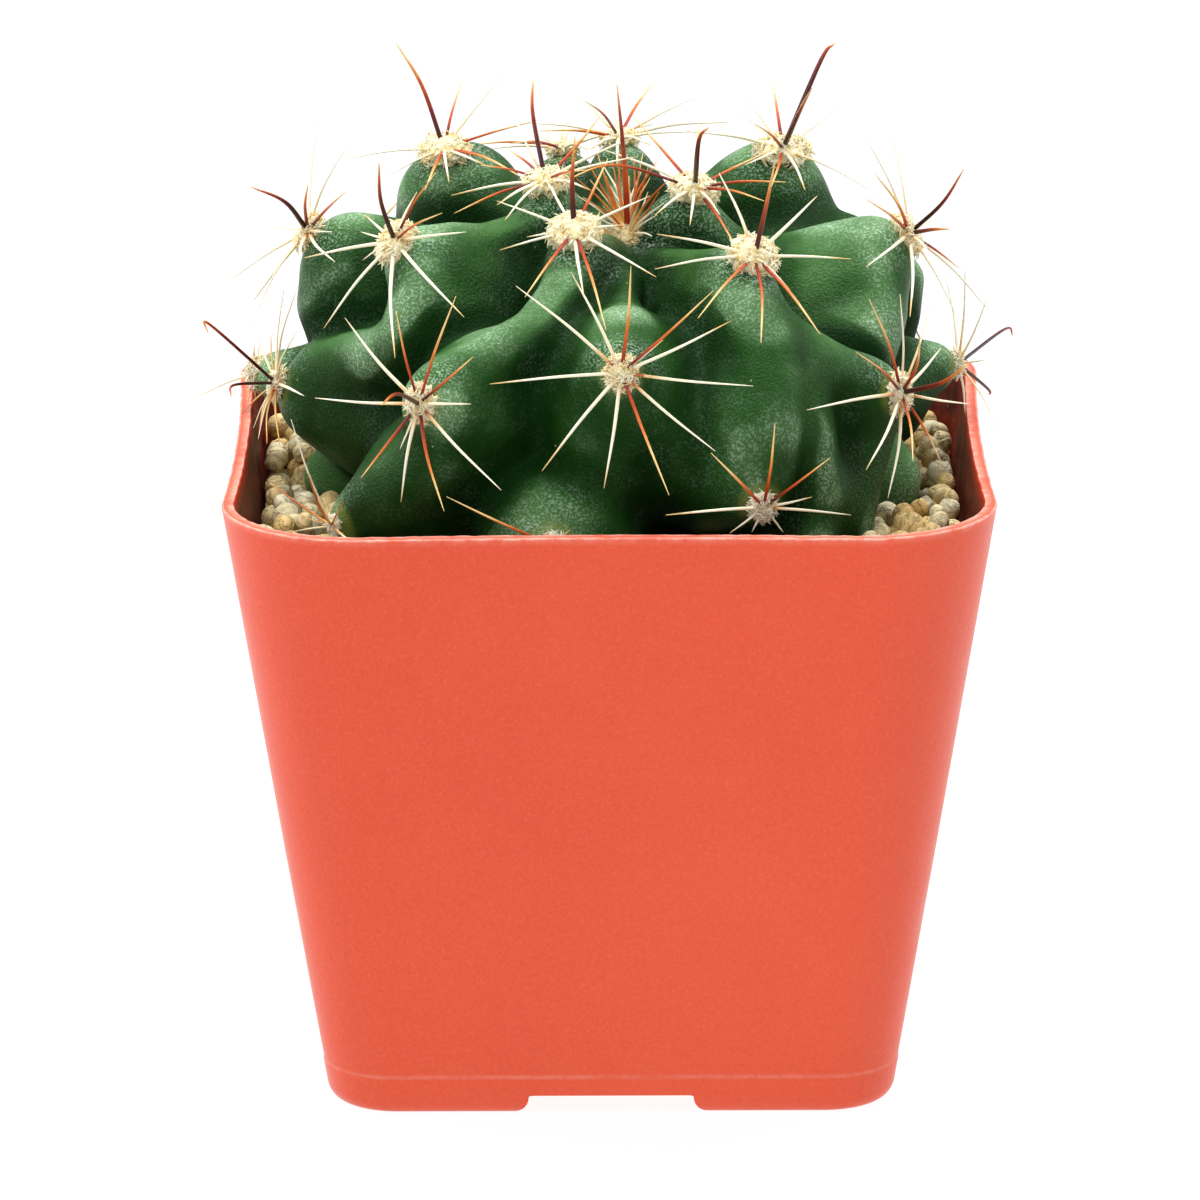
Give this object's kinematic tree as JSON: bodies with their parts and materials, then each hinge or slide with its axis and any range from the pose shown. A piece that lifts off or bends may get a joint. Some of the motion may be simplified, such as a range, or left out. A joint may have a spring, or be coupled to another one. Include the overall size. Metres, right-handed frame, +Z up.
{
  "type": "potted round cactus",
  "caption": "Round ribbed cactus with woolly spined areoles, growing in a square tapered plastic pot topped with clay granules.",
  "frame": {"origin": "centre of the pot's footprint, on the surface it stands on", "axes": "+Z up along the pot's axis; +X to the right and -Y towards the viewer in the reference view"},
  "size_m": [0.0968, 0.1058, 0.1151],
  "materials": {
    "pot_plastic": "smooth moulded plastic with a soft sheen",
    "stem": null,
    "areole": null,
    "granules": null,
    "potting_mix": null
  },
  "bodies": {
    "root": {"pot": "pot_plastic", "cactus_body": "stem", "potting_mix": "potting_mix", "granule_top_layer": "granules", "areole_01": "areole", "areole_02": "areole", "areole_03": "areole", "areole_04": "areole", "areole_05": "areole", "areole_06": "areole", "areole_07": "areole", "areole_08": "areole", "areole_09": "areole", "areole_10": "areole", "areole_11": "areole", "areole_12": "areole", "areole_13": "areole", "areole_14": "areole", "areole_15": "areole", "areole_16": "areole", "areole_17": "areole", "areole_18": "areole", "areole_19": "areole", "areole_20": "areole", "areole_21": "areole", "areole_22": "areole", "areole_23": "areole", "areole_24": "areole", "areole_25": "areole", "areole_26": "areole", "areole_27": "areole", "areole_28": "areole"}
  },
  "joints": []
}
